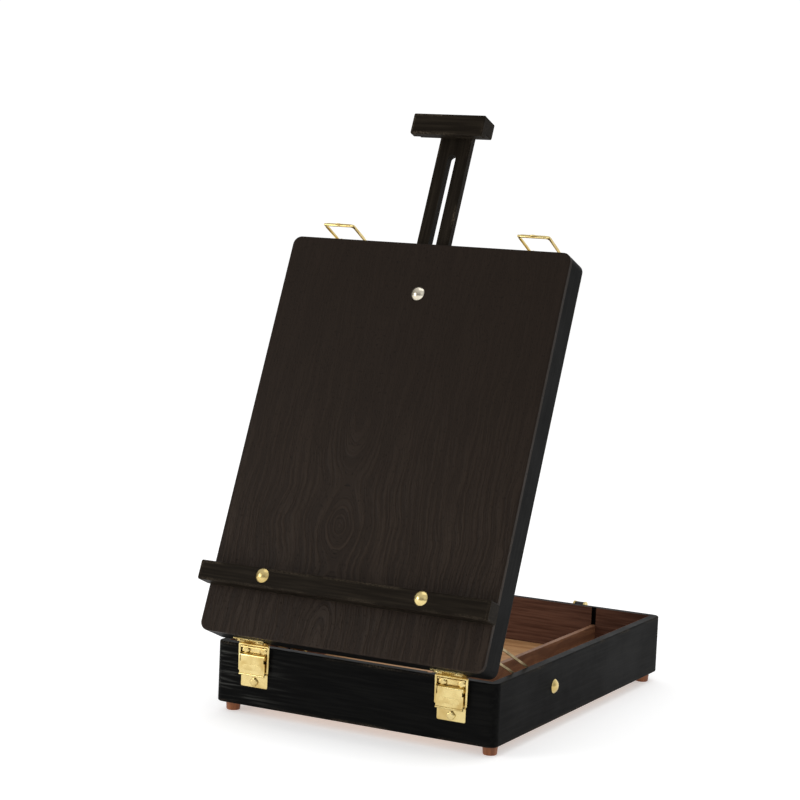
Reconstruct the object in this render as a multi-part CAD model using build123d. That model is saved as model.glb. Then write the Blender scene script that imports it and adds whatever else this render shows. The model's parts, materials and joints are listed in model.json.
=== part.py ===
from build123d import *
import math
import os

# Tabletop sketch-box easel: a shallow wooden box whose lid opens about its front edge,
# leans back as a drawing board and carries a sliding mast that holds the canvas.
# Millimetres, +Z up, X across the box, the user's side at -Y. The feet stand on Z = 0.
# Lid pieces are drawn with the lid shut and are then turned about the hinge line.

# ---- overall ----
BOX_WIDTH = 260.0
BOX_DEPTH = 348.0
BASE_HEIGHT = 51.5
LID_HEIGHT = 29.3
LID_ANGLE = 67.9
CORNER_RADIUS = 7.5
EDGE_RADIUS = 1.2

# ---- base ----
WALL = 8.0
FLOOR_THICKNESS = 4.0
FLOOR_TOP = 10.2
FLOOR_TONGUE = 3.0
DIVIDER_THICKNESS = 4.4
DIVIDER_X = 66.8
DIVIDER_TOP = 35.0
DIVIDER_GROOVE = 2.5
FOOT_RADIUS = 6.5
FOOT_HEIGHT = 8.5
FOOT_TAPER = 0.88
FOOT_EDGE_RADIUS = 0.8
FOOT_INSET_X = 10.0
FOOT_INSET_Y = 14.0
BLOCK_SIZE = 20.0

# ---- lid ----
RAIL = 8.0
PANEL_THICKNESS = 5.0
RIM_GAP = 0.4
HINGE_OUT = 2.6
HINGE_UP = 1.0

# ---- mast, its head, its guides and its clamp ----
MAST_WIDTH = 29.5
MAST_THICKNESS = 7.5
MAST_LENGTH = 328.0
MAST_REACH = 109.5
MAST_GAP = 0.5
MAST_SLOT_WIDTH = 7.2
MAST_SLOT_TOP = 26.5
MAST_SLOT_BOTTOM = 20.0
MAST_EDGE_RADIUS = 1.0
GUIDE_WIDTH = 12.0
GUIDE_LENGTH = 190.0
CLAMP_FROM_TOP = 44.0
HEAD_WIDTH = 67.0
HEAD_DEPTH = 20.5
HEAD_HEIGHT = 18.5
HEAD_LIP_DEPTH = 8.0
HEAD_LIP_DROP = 4.5
HEAD_ABOVE_MAST = 1.5
HEAD_SCREW_X = 8.4

# ---- canvas ledge ----
LEDGE_LENGTH = 265.0
LEDGE_DEPTH = 17.0
LEDGE_HEIGHT = 16.5
LEDGE_FROM_BOTTOM = 38.5
LEDGE_BOLT_X = 72.5
LEDGE_BOLT_RISE = 10.0
LEDGE_NUT_HEIGHT = 3.2

# ---- bolts, nuts and screws ----
BOLT_RADIUS = 1.75
DOME_RADIUS = 6.0
DOME_HEIGHT = 3.0
WASHER_RADIUS = 8.0
WASHER_THICKNESS = 1.0
NUT_SEAT_GAP = 0.1
HUB_RADIUS = 4.5
HUB_HEIGHT = 6.0
WING_SPAN = 24.0
WING_HEIGHT = 9.0
WING_THICKNESS = 2.4
SCREW_RADIUS = 1.2
SCREW_HEAD_RADIUS = 2.4
SCREW_HEAD_HEIGHT = 0.9
SCREW_LENGTH = 6.0
SCREW_SLOT_WIDTH = 0.5
PILOT_SPARE = 0.2
RECESS_CLEARANCE = 0.4
HOLE_CLEARANCE = 0.05
THREAD_CLEARANCE = 0.08
MOVING_GAP = 0.4

# ---- stay arms ----
STAY_THICKNESS = 1.2
STAY_WIDTH = 13.6
STAY_SLOT_WIDTH = 9.6
STAY_SLOT_START = 22.0
STAY_SLOT_END = 121.3
STAY_PIVOT_S = 24.0
STAY_PIVOT_N = 6.0
STAY_SWING_TRIM = 0.95
STAY_WALL_GAP = 0.6
STAY_BOLT_FROM_FRONT = 112.6
STAY_BOLT_HEIGHT = 29.5
STAY_HEAD_RADIUS = 4.5
STAY_HEAD_HEIGHT = 1.6
STAY_SCREW_SPARE = 2.0

# ---- draw latches ----
LATCH_X = 91.5
LATCH_WIDTH = 25.4
LATCH_SHEET = 0.8
LATCH_PIN_U = 8.0
LATCH_PIN_W = 3.3
LATCH_PIN_RADIUS = 1.0
LATCH_TOP_U = 1.3
LATCH_SCREW_X = 8.6
LATCH_SCREW_U = 3.9
TAIL_SCREW_INSET = 4.5
PLATE_CORNER_RADIUS = 1.2
PIN_HEAD = 0.4
EAR_RADIUS = 2.6
EAR_X = 11.3
LEVER_HALF_WIDTH = 12.1
LEVER_NECK_HALF = 11.0
LEVER_TAIL = 15.5
LEVER_CURL = 1.0
LEVER_NECK_LENGTH = 4.8
LEVER_ROLL = 0.4
WIRE_RADIUS = 1.1
BAIL_REACH = 12.5
BAIL_FOOT_W = 2.6
BAIL_FOOT_X = 13.5
BAIL_BAR_X = 13.8
BAIL_FOOT_INSET = 0.8
HOOK_CLEARANCE = 0.5
HOOK_WIDTH = 24.6
STRIKE_WIDTH = 30.0
STRIKE_HEIGHT = 12.0
STRIKE_FOOT = 0.3
STRIKE_SCREW_X = 8.8
STRIKE_SCREW_RISE = 7.4
STRIKE_CORNER_RADIUS = 0.9
FRONT_PLATE_END = 34.5
REAR_PLATE_END = 22.0
REAR_BAR_U = -8.0
REAR_LEVER_OPEN = 152.0
REAR_BAIL_REST = 7.0

# ---- carry handle ----
HANDLE_SPACING = 94.0
HANDLE_DROP = 36.0
HANDLE_AXIS_DOWN = 2.5
HANDLE_GRIP_THICKNESS = 9.0
HANDLE_GRIP_HEIGHT = 13.0
BRACKET_WIDTH = 12.0
BRACKET_HEIGHT = 22.0
BRACKET_EYE_RADIUS = 4.0
BRACKET_OUT = 5.5
BRACKET_SHEET = 1.0
BRACKET_LUG = 1.8
BRACKET_CORNER_RADIUS = 2.0
BRACKET_SCREW_DROPS = (9.2, 18.0)
HANDLE_PIN_OVERHANG = 0.5
HANDLE_GRIP_OVERHANG = 2.0
HANDLE_PIN_RADIUS = 1.6

# ---- derived places ----
FRONT = -BOX_DEPTH / 2
REAR = BOX_DEPTH / 2
SIDE = BOX_WIDTH / 2
BASE_BOTTOM = FOOT_HEIGHT
RIM = BASE_BOTTOM + BASE_HEIGHT
LID_RIM = RIM + RIM_GAP
LID_FACE = LID_RIM + LID_HEIGHT
PANEL_BACK = LID_FACE - PANEL_THICKNESS
HINGE = Vector(0, FRONT - HINGE_OUT, RIM + HINGE_UP)
HINGE_AXIS = Axis(HINGE, (1, 0, 0))
MAST_FRONT = PANEL_BACK - MAST_GAP
MAST_BACK = MAST_FRONT - MAST_THICKNESS
MAST_TOP = REAR + MAST_REACH
MAST_BOTTOM = MAST_TOP - MAST_LENGTH
CLAMP_Y = REAR - CLAMP_FROM_TOP
STAY_BOLT_Y = FRONT + STAY_BOLT_FROM_FRONT
STAY_BOLT_Z = BASE_BOTTOM + STAY_BOLT_HEIGHT
STAY_OUTER_X = SIDE - WALL - STAY_WALL_GAP
FRONT_BAR_U = -HINGE_UP

parts = {}


def block(low, high):
    """A box between two opposite corners."""
    size = [high[i] - low[i] for i in range(3)]
    middle = [(high[i] + low[i]) / 2 for i in range(3)]
    return Pos(*middle) * Box(*size)


def rod(start, end, radius):
    """A round rod between two points."""
    line = Vector(*end) - Vector(*start)
    plane = Plane(origin=start, z_dir=line)
    return extrude(plane * Circle(radius), line.length)


def ball(centre, radius):
    return Pos(*centre) * Sphere(radius)


def mirrored(shape):
    """The same piece on the other side of the box."""
    return mirror(shape, about=Plane.YZ)


def group(shapes):
    """Separate solids kept in one node."""
    return Compound([solid for shape in shapes for solid in shape.solids()])


def pair(shape):
    """A piece and its mirror image, as separate solids in one node."""
    return group([shape, mirrored(shape)])


def opened(shape):
    """Turns a lid piece from shut to its leaning position."""
    return shape.rotate(HINGE_AXIS, LID_ANGLE)


def outline_prism(bottom, top):
    """The box's plan outline with round corners, between two heights."""
    plan = Pos(0, 0, bottom) * RectangleRounded(BOX_WIDTH, BOX_DEPTH, CORNER_RADIUS)
    return extrude(plan, top - bottom)


def soft_edges(shape, edges):
    """Rounds edges by the small arris radius."""
    return fillet(edges, EDGE_RADIUS) if edges else shape


def dome_bolt(length):
    """A dome-headed bolt along -Z, its head standing on Z = 0."""
    sphere_radius = (DOME_RADIUS ** 2 + DOME_HEIGHT ** 2) / (2 * DOME_HEIGHT)
    dome = Pos(0, 0, DOME_HEIGHT - sphere_radius) * Sphere(sphere_radius)
    head = dome & block((-DOME_RADIUS, -DOME_RADIUS, 0), (DOME_RADIUS, DOME_RADIUS, DOME_HEIGHT))
    return head + rod((0, 0, 0.01), (0, 0, -length), BOLT_RADIUS)


def screw(length):
    """A wood screw along -Z with a cross-slotted pan head on Z = 0."""
    head = extrude(Circle(SCREW_HEAD_RADIUS), SCREW_HEAD_HEIGHT)
    rim = head.edges().sort_by(Axis.Z)[-1]
    head = fillet(rim, SCREW_HEAD_HEIGHT / 2)
    reach = SCREW_HEAD_RADIUS * 0.6
    half = SCREW_SLOT_WIDTH / 2
    slot = block((-reach, -half, SCREW_HEAD_HEIGHT / 2), (reach, half, SCREW_HEAD_HEIGHT + 1))
    for turn in (0, 90):
        head = head - Rot(0, 0, turn) * slot
    return head + rod((0, 0, 0.01), (0, 0, -length), SCREW_RADIUS)


def washer(inner):
    ring = Circle(WASHER_RADIUS) - Circle(inner)
    return extrude(ring, WASHER_THICKNESS)


def wing_nut():
    """A wing nut standing on Z = 0 with its bore along Z."""
    hub = Pos(0, 0, HUB_HEIGHT / 2) * Cone(HUB_RADIUS, HUB_RADIUS * 0.8, HUB_HEIGHT)
    wing_low = HUB_HEIGHT * 0.35
    wing_shape = RectangleRounded(WING_SPAN, WING_HEIGHT, WING_HEIGHT * 0.4)
    wing_shape = Pos(0, wing_low + WING_HEIGHT / 2) * wing_shape
    notch = Pos(0, wing_low + WING_HEIGHT) * Circle(WING_HEIGHT * 0.42)
    wings = extrude(Plane.XZ * (wing_shape - notch), WING_THICKNESS / 2, both=True)
    wings = fillet(wings.edges().filter_by(Axis.Y, reverse=True), WING_THICKNESS * 0.3)
    bore = rod((0, 0, -1), (0, 0, HUB_HEIGHT + WING_HEIGHT + 1), BOLT_RADIUS + THREAD_CLEARANCE)
    return hub + wings - bore


def along(point, direction, shape):
    """Stands a piece drawn on Z at a point, with its +Z pointing along a direction."""
    return Plane(origin=point, z_dir=direction) * shape


# ------------------------------------------------------------------ base box

def base_shell():
    """The four walls as one ring, with the floor's groove cut inside."""
    outer = outline_prism(BASE_BOTTOM, RIM)
    inner = block((-SIDE + WALL, FRONT + WALL, 0), (SIDE - WALL, REAR - WALL, RIM + 1))
    return outer - inner - floor_blank()


def floor_blank():
    reach = WALL - FLOOR_TONGUE
    low = (-SIDE + reach, FRONT + reach, BASE_BOTTOM + FLOOR_TOP - FLOOR_THICKNESS)
    high = (SIDE - reach, REAR - reach, BASE_BOTTOM + FLOOR_TOP)
    return block(low, high)


def divider_blank(top, clearance):
    half = DIVIDER_THICKNESS / 2 + clearance
    low = (DIVIDER_X - half, FRONT + WALL - DIVIDER_GROOVE, BASE_BOTTOM + FLOOR_TOP)
    high = (DIVIDER_X + half, REAR - WALL + DIVIDER_GROOVE, top)
    return block(low, high)


def split_ring(shell):
    """Cuts a ring of walls into front, rear, left and right pieces, butted at the corners."""
    far = BOX_WIDTH + BOX_DEPTH
    front = shell & block((-far, -far, -1), (far, FRONT + WALL, far))
    rear = shell & block((-far, REAR - WALL, -1), (far, far, far))
    left = shell & block((-far, FRONT + WALL, -1), (0, REAR - WALL, far))
    right = shell & block((0, FRONT + WALL, -1), (far, REAR - WALL, far))
    return front, rear, left, right


def outer_rim_edges(shape, height):
    """Level edges of a wall's outer face at one height."""
    found = []
    for edge in shape.edges():
        middle = edge @ 0.5
        level = abs(middle.Z - height) < 0.01 and abs((edge @ 0).Z - height) < 0.01
        outside = abs(middle.X) > SIDE - CORNER_RADIUS or abs(middle.Y) > REAR - CORNER_RADIUS
        on_face = abs(abs(middle.X) - SIDE) < 0.01 or abs(abs(middle.Y) - REAR) < 0.01
        if level and outside and on_face:
            found.append(edge)
    return found


def stay_bolt_hole():
    reach = (SIDE - WALL - 1, STAY_BOLT_Y, STAY_BOLT_Z)
    return rod(reach, (SIDE + 1, STAY_BOLT_Y, STAY_BOLT_Z), BOLT_RADIUS + HOLE_CLEARANCE)


def foot_places():
    x = SIDE - FOOT_INSET_X
    y = REAR - FOOT_INSET_Y
    return [(sx * x, sy * y) for sx in (-1, 1) for sy in (-1, 1)]


def foot(x, y):
    """A turned foot, slightly tapered, with a recess for its screw's head."""
    body = Pos(x, y, FOOT_HEIGHT / 2) * Cone(FOOT_RADIUS * FOOT_TAPER, FOOT_RADIUS, FOOT_HEIGHT)
    recess = rod((x, y, -1), (x, y, 2 * SCREW_HEAD_HEIGHT), SCREW_HEAD_RADIUS + RECESS_CLEARANCE)
    bore = rod((x, y, 0), (x, y, FOOT_HEIGHT + 1), SCREW_RADIUS + HOLE_CLEARANCE)
    body = fillet(body.edges().sort_by(Axis.Z)[0], FOOT_EDGE_RADIUS)
    return body - recess - bore


def corner_block(x, y):
    """A glue block under the floor in one corner, which takes a foot's screw."""
    sx = math.copysign(1, x)
    sy = math.copysign(1, y)
    corner = (sx * (SIDE - WALL), sy * (REAR - WALL))
    inner = (corner[0] - sx * BLOCK_SIZE, corner[1] - sy * BLOCK_SIZE)
    low = (min(corner[0], inner[0]), min(corner[1], inner[1]), BASE_BOTTOM)
    top = BASE_BOTTOM + FLOOR_TOP - FLOOR_THICKNESS
    high = (max(corner[0], inner[0]), max(corner[1], inner[1]), top)
    return block(low, high) - foot_screw_hole(x, y)


def foot_screw_top():
    return BASE_BOTTOM + FLOOR_TOP - FLOOR_THICKNESS - 1


def foot_screw_hole(x, y):
    return rod((x, y, 0), (x, y, foot_screw_top()), SCREW_RADIUS + HOLE_CLEARANCE)


def build_base():
    shell = base_shell() - divider_blank(RIM + 1, HOLE_CLEARANCE)
    shell = shell - stay_bolt_hole() - mirrored(stay_bolt_hole())
    for x, y in foot_places():
        shell = shell - foot_screw_hole(x, y)
    for place in fitting_holes_base():
        shell = shell - place
    names = ("base_front_wall", "base_rear_wall", "base_left_wall", "base_right_wall")
    for name, wall in zip(names, split_ring(shell)):
        edges = outer_rim_edges(wall, RIM) + outer_rim_edges(wall, BASE_BOTTOM)
        parts[name] = soft_edges(wall, edges)
    parts["floor_panel"] = floor_blank()
    parts["divider"] = divider_blank(BASE_BOTTOM + DIVIDER_TOP, 0)
    parts["foot_blocks"] = group(corner_block(x, y) for x, y in foot_places())
    parts["feet"] = group(foot(x, y) for x, y in foot_places())
    head_z = 2 * SCREW_HEAD_HEIGHT
    foot_screw = screw(foot_screw_top() - head_z - PILOT_SPARE)
    parts["foot_screws"] = group(along((x, y, head_z), (0, 0, -1), foot_screw) for x, y in foot_places())


# ------------------------------------------------------------------ lid

def lid_shell():
    outer = outline_prism(LID_RIM, PANEL_BACK)
    inner = block((-SIDE + RAIL, FRONT + RAIL, 0), (SIDE - RAIL, REAR - RAIL, LID_FACE + 1))
    return outer - inner


def mast_channel():
    """The notch in the rear rail that the mast slides through."""
    half = MAST_WIDTH / 2 + MAST_GAP
    return block((-half, REAR - RAIL - 1, MAST_BACK - MAST_GAP), (half, REAR + 1, LID_FACE))


def stay_pivot():
    return Vector(0, FRONT + STAY_PIVOT_S, LID_RIM + STAY_PIVOT_N)


def stay_pivot_hole():
    point = stay_pivot()
    start = (SIDE - RAIL - 1, point.Y, point.Z)
    end = (SIDE - STAY_SCREW_SPARE, point.Y, point.Z)
    return rod(start, end, BOLT_RADIUS + HOLE_CLEARANCE)


def clamp_hole(radius):
    return rod((0, CLAMP_Y, LID_RIM), (0, CLAMP_Y, LID_FACE + 1), radius)


def ledge_bolt_y():
    return FRONT + LEDGE_FROM_BOTTOM + LEDGE_BOLT_RISE


def ledge_hole(x):
    start = (x, ledge_bolt_y(), PANEL_BACK - 1)
    return rod(start, (x, ledge_bolt_y(), LID_FACE + LEDGE_DEPTH + 1), BOLT_RADIUS + HOLE_CLEARANCE)


def build_lid():
    shell = lid_shell() - mast_channel() - stay_pivot_hole() - mirrored(stay_pivot_hole())
    for place in fitting_holes_lid():
        shell = shell - place
    names = ("lid_front_rail", "lid_rear_rail", "lid_left_rail", "lid_right_rail")
    for name, rail in zip(names, split_ring(shell)):
        parts[name] = opened(soft_edges(rail, outer_rim_edges(rail, LID_RIM)))
    panel = outline_prism(PANEL_BACK, LID_FACE)
    face_edges = panel.faces().sort_by(Axis.Z)[-1].edges()
    panel = fillet(face_edges, EDGE_RADIUS)
    panel = panel - clamp_hole(BOLT_RADIUS + HOLE_CLEARANCE)
    for x in (-LEDGE_BOLT_X, LEDGE_BOLT_X):
        panel = panel - ledge_hole(x)
    parts["lid_panel"] = opened(panel)
    parts["mast_guides"] = opened(pair(mast_guide()))


def mast_guide():
    """A cleat beside the mast, glued to the back of the panel."""
    inner = MAST_WIDTH / 2 + MAST_GAP
    low = (inner, REAR - RAIL - GUIDE_LENGTH, MAST_BACK)
    high = (inner + GUIDE_WIDTH, REAR - RAIL, PANEL_BACK)
    return block(low, high)


# ------------------------------------------------------------------ mast

def build_mast():
    body = block((-MAST_WIDTH / 2, MAST_BOTTOM, MAST_BACK), (MAST_WIDTH / 2, MAST_TOP, MAST_FRONT))
    body = fillet(body.edges().filter_by(Axis.Y), MAST_EDGE_RADIUS)
    slot_high = MAST_TOP - MAST_SLOT_TOP
    slot_low = MAST_BOTTOM + MAST_SLOT_BOTTOM
    slot_plan = Pos(0, (slot_high + slot_low) / 2, MAST_BACK - 1) * Rot(0, 0, 90)
    slot_plan = slot_plan * SlotOverall(slot_high - slot_low, MAST_SLOT_WIDTH)
    body = body - extrude(slot_plan, MAST_THICKNESS + 2)
    for x in (-HEAD_SCREW_X, HEAD_SCREW_X):
        body = body - head_screw_hole(x)
    parts["mast"] = opened(body)
    parts["mast_head"] = opened(mast_head())
    screws = [along((x, head_screw_y(), MAST_BACK), (0, 0, -1), screw(head_screw_length()))
              for x in (-HEAD_SCREW_X, HEAD_SCREW_X)]
    parts["mast_head_screws"] = opened(group(screws))


def head_screw_y():
    return MAST_TOP - (HEAD_HEIGHT - HEAD_LIP_DROP) / 2


def head_screw_length():
    return MAST_THICKNESS + HEAD_DEPTH / 2


def head_screw_hole(x):
    start = (x, head_screw_y(), MAST_BACK - 1)
    end = (x, head_screw_y(), MAST_BACK + head_screw_length() + PILOT_SPARE)
    return rod(start, end, SCREW_RADIUS + HOLE_CLEARANCE)


def mast_head():
    """The cross block on the mast: its front lip hangs over the canvas's top edge."""
    top = MAST_TOP + HEAD_ABOVE_MAST
    under = top - HEAD_HEIGHT + HEAD_LIP_DROP
    front = MAST_FRONT + HEAD_DEPTH
    half = HEAD_WIDTH / 2
    bar = block((-half, under, MAST_FRONT), (half, top, front))
    lip = block((-half, top - HEAD_HEIGHT, front - HEAD_LIP_DEPTH), (half, under + 1, front))
    head = bar + lip
    head = fillet(head.edges().filter_by(Axis.X), EDGE_RADIUS)
    ends = head.faces().sort_by(Axis.X)
    head = chamfer(ends[0].edges() + ends[-1].edges(), EDGE_RADIUS * 0.6)
    for x in (-HEAD_SCREW_X, HEAD_SCREW_X):
        head = head - head_screw_hole(x)
    return head


def build_clamp():
    """The bolt through the panel and the mast's slot, its washer and its wing nut."""
    washer_top = MAST_BACK - MOVING_GAP
    nut_top = washer_top - WASHER_THICKNESS - NUT_SEAT_GAP
    length = LID_FACE - nut_top + HUB_HEIGHT + 1
    parts["mast_clamp_bolt"] = opened(along((0, CLAMP_Y, LID_FACE), (0, 0, 1), dome_bolt(length)))
    ring = along((0, CLAMP_Y, washer_top), (0, 0, -1), washer(BOLT_RADIUS + HOLE_CLEARANCE))
    parts["mast_clamp_washer"] = opened(ring)
    parts["mast_wing_nut"] = opened(along((0, CLAMP_Y, nut_top), (0, 0, -1), wing_nut()))


# ------------------------------------------------------------------ ledge

def build_ledge():
    low = FRONT + LEDGE_FROM_BOTTOM
    half = LEDGE_LENGTH / 2
    bar = block((-half, low, LID_FACE), (half, low + LEDGE_HEIGHT, LID_FACE + LEDGE_DEPTH))
    bar = fillet(bar.edges().filter_by(Axis.X).sort_by(Axis.Z)[-2:], EDGE_RADIUS * 1.5)
    front_corners = bar.edges().filter_by(Axis.Y).sort_by(Axis.Z)[-2:]
    bar = fillet(front_corners, EDGE_RADIUS * 0.8)
    bolts = []
    nuts = []
    length = LEDGE_DEPTH + PANEL_THICKNESS + LEDGE_NUT_HEIGHT + 1
    hexagon = RegularPolygon(BOLT_RADIUS * 2, 6) - Circle(BOLT_RADIUS + HOLE_CLEARANCE)
    nut = extrude(hexagon, LEDGE_NUT_HEIGHT)
    for x in (-LEDGE_BOLT_X, LEDGE_BOLT_X):
        bar = bar - ledge_hole(x)
        seat = (x, ledge_bolt_y(), LID_FACE + LEDGE_DEPTH)
        bolts.append(along(seat, (0, 0, 1), dome_bolt(length)))
        nuts.append(along((x, ledge_bolt_y(), PANEL_BACK), (0, 0, -1), nut))
    parts["canvas_ledge"] = opened(bar)
    parts["ledge_bolts"] = opened(group(bolts))
    parts["ledge_nuts"] = opened(group(nuts))


# ------------------------------------------------------------------ stay arms

def stay_arm():
    """A slotted flat arm with its pivot eye at the origin, running along +Y, flat on X = 0."""
    bar = Pos(0, STAY_SLOT_END / 2) * Rot(0, 0, 90) * SlotCenterToCenter(STAY_SLOT_END, STAY_WIDTH)
    slot_middle = (STAY_SLOT_START + STAY_SLOT_END) / 2
    slot_run = STAY_SLOT_END - STAY_SLOT_START
    slot = Pos(0, slot_middle) * Rot(0, 0, 90) * SlotCenterToCenter(slot_run, STAY_SLOT_WIDTH)
    eye = Circle(BOLT_RADIUS + THREAD_CLEARANCE)
    plate = extrude(bar - slot - eye, STAY_THICKNESS)
    return Plane(origin=(0, 0, 0), x_dir=(0, 1, 0), z_dir=(1, 0, 0)) * Rot(0, 0, -90) * plate


def stay_angle():
    """How far the arm dips below level: towards its bolt, trimmed for the least drift in its slot."""
    pivot = opened_point(*stay_pivot())
    dip = math.degrees(math.atan2(pivot.Z - STAY_BOLT_Z, STAY_BOLT_Y - pivot.Y))
    return dip + STAY_SWING_TRIM


def build_stays():
    point = opened_point(*stay_pivot())
    arm = Pos(STAY_OUTER_X - STAY_THICKNESS, point.Y, point.Z) * Rot(-stay_angle(), 0, 0) * stay_arm()
    parts["stay_arm_right"] = arm
    parts["stay_arm_left"] = mirrored(arm)
    parts["stay_pivot_screws"] = opened(pair(stay_pivot_screw()))
    inner = STAY_OUTER_X - STAY_THICKNESS - MOVING_GAP
    bolt = dome_bolt(SIDE - inner + WASHER_THICKNESS + HUB_HEIGHT + 1)
    parts["stay_bolts"] = pair(along((SIDE, STAY_BOLT_Y, STAY_BOLT_Z), (1, 0, 0), bolt))
    ring = along((inner, STAY_BOLT_Y, STAY_BOLT_Z), (-1, 0, 0), washer(BOLT_RADIUS + HOLE_CLEARANCE))
    parts["stay_washers"] = pair(ring)
    nut_x = inner - WASHER_THICKNESS - NUT_SEAT_GAP
    nut = along((nut_x, STAY_BOLT_Y, STAY_BOLT_Z), (-1, 0, 0), wing_nut())
    parts["stay_wing_nut_right"] = nut
    parts["stay_wing_nut_left"] = mirrored(nut)


def stay_pivot_screw():
    """A shouldered screw through the stay's eye into the lid's side rail."""
    point = stay_pivot()
    seat = STAY_OUTER_X - STAY_THICKNESS - MOVING_GAP
    head = rod((seat - STAY_HEAD_HEIGHT, point.Y, point.Z), (seat, point.Y, point.Z), STAY_HEAD_RADIUS)
    head = fillet(head.edges().sort_by(Axis.X)[0], STAY_HEAD_HEIGHT * 0.4)
    tip = SIDE - STAY_SCREW_SPARE - PILOT_SPARE
    return head + rod((seat - STAY_HEAD_HEIGHT / 2, point.Y, point.Z), (tip, point.Y, point.Z), BOLT_RADIUS)


# ------------------------------------------------------------------ draw latches
# A latch is drawn at its own parting line: U runs away from that line along the wall
# it is screwed to, W stands out from the wall. U is -Z and W is -Y for the front pair.

def uw(x, u, w):
    return (x, -w, -u)


def sheet(x_low, x_high, u_low, u_high, w_low, w_high):
    return block((x_low, -w_high, -u_high), (x_high, -w_low, -u_low))


def cross_rod(x_low, x_high, u, w, radius):
    return rod(uw(x_low, u, w), uw(x_high, u, w), radius)


def latch_screw_places(plate_end):
    """The screw in the tail tab and the two above the lever's pin."""
    tail = (0, plate_end - TAIL_SCREW_INSET)
    return [tail, (-LATCH_SCREW_X, LATCH_SCREW_U), (LATCH_SCREW_X, LATCH_SCREW_U)]


def latch_plate(plate_end):
    half = LATCH_WIDTH / 2
    plate = sheet(-half, half, LATCH_TOP_U, plate_end, 0, LATCH_SHEET)
    plate = fillet(plate.edges().filter_by(Axis.Y), PLATE_CORNER_RADIUS)
    for side in (-1, 1):
        inner = side * EAR_X
        outer = side * (EAR_X + LATCH_SHEET)
        low, high = min(inner, outer), max(inner, outer)
        ear = cross_rod(low, high, LATCH_PIN_U, LATCH_PIN_W, EAR_RADIUS)
        web = sheet(low, high, LATCH_PIN_U - EAR_RADIUS, LATCH_PIN_U + EAR_RADIUS, 0, LATCH_PIN_W)
        plate = plate + ear + web
    bore = LATCH_PIN_RADIUS + HOLE_CLEARANCE
    plate = plate - cross_rod(-half - 1, half + 1, LATCH_PIN_U, LATCH_PIN_W, bore)
    for x, u in latch_screw_places(plate_end):
        plate = plate - rod(uw(x, u, -1), uw(x, u, 2), SCREW_RADIUS + HOLE_CLEARANCE)
    return plate


def latch_pin():
    """The lever's pin, with its ends riveted over the ears."""
    outer = EAR_X + LATCH_SHEET
    end = outer + PIN_HEAD
    pin = cross_rod(-end, end, LATCH_PIN_U, LATCH_PIN_W, LATCH_PIN_RADIUS)
    for low in (-end, outer):
        pin = pin + cross_rod(low, low + PIN_HEAD, LATCH_PIN_U, LATCH_PIN_W, LATCH_PIN_RADIUS * 1.6)
    return pin


def bail_foot():
    return LATCH_PIN_U + BAIL_REACH, BAIL_FOOT_W


def latch_lever():
    """The lever: a curl round its pin, a flat with side flanges and a rolled tail."""
    bore = LATCH_PIN_RADIUS + THREAD_CLEARANCE
    curl = bore + LEVER_CURL
    neck_end = LATCH_PIN_U + LEVER_NECK_LENGTH
    tail = LATCH_PIN_U + LEVER_TAIL
    top = LATCH_PIN_W + curl
    neck = LEVER_NECK_HALF
    half = LEVER_HALF_WIDTH
    foot_u, foot_w = bail_foot()
    lever = cross_rod(-neck, neck, LATCH_PIN_U, LATCH_PIN_W, curl)
    lever = lever + sheet(-neck, neck, LATCH_PIN_U, neck_end + 1, top - LATCH_SHEET, top)
    lever = lever + sheet(-half, half, neck_end, tail, top - LATCH_SHEET, top)
    lever = lever + cross_rod(-half, half, tail, top - LATCH_SHEET / 2 + LEVER_ROLL, LATCH_SHEET)
    for low in (-half, half - LATCH_SHEET):
        flange = sheet(low, low + LATCH_SHEET, neck_end, tail - 1, LATCH_SHEET + MOVING_GAP, top)
        lever = lever + flange
    end = half + 1
    lever = lever - cross_rod(-end, end, LATCH_PIN_U, LATCH_PIN_W, bore)
    return lever - cross_rod(-end, end, foot_u, foot_w, WIRE_RADIUS + THREAD_CLEARANCE)


def latch_bail(bar_u):
    """The wire loop: two inturned feet in the lever's flanges, two arms and a bar."""
    foot_u, foot_w = bail_foot()
    foot_end = LEVER_HALF_WIDTH - LATCH_SHEET - BAIL_FOOT_INSET
    loop = cross_rod(-BAIL_BAR_X, BAIL_BAR_X, bar_u, HINGE_OUT, WIRE_RADIUS)
    for side in (-1, 1):
        foot_point = uw(side * BAIL_FOOT_X, foot_u, foot_w)
        corner = uw(side * BAIL_BAR_X, bar_u, HINGE_OUT)
        loop = loop + rod(uw(side * foot_end, foot_u, foot_w), foot_point, WIRE_RADIUS)
        loop = loop + rod(foot_point, corner, WIRE_RADIUS)
        loop = loop + ball(foot_point, WIRE_RADIUS) + ball(corner, WIRE_RADIUS)
    return loop


def strike_screw_places(bar_u):
    return [(x, bar_u - STRIKE_SCREW_RISE) for x in (-STRIKE_SCREW_X, STRIKE_SCREW_X)]


def strike(bar_u):
    """The plate whose hooked edge holds the bail's bar; the hook opens towards -U."""
    half = STRIKE_WIDTH / 2
    inner = WIRE_RADIUS + HOOK_CLEARANCE
    outer = inner + LATCH_SHEET
    plate = sheet(-half, half, bar_u - STRIKE_HEIGHT, bar_u + STRIKE_FOOT, 0, LATCH_SHEET)
    plate = fillet(plate.edges().filter_by(Axis.Y), STRIKE_CORNER_RADIUS)
    for x, u in strike_screw_places(bar_u):
        plate = plate - rod(uw(x, u, -1), uw(x, u, 2), SCREW_RADIUS + HOLE_CLEARANCE)
    grip = HOOK_WIDTH / 2
    ring = cross_rod(-grip, grip, bar_u, HINGE_OUT, outer)
    ring = ring - cross_rod(-grip - 1, grip + 1, bar_u, HINGE_OUT, inner)
    hook = ring & sheet(-half, half, bar_u, bar_u + outer + 1, -1, HINGE_OUT + outer + 1)
    return plate + hook


def on_front(x, shape):
    return Pos(x, FRONT, RIM) * shape


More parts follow.
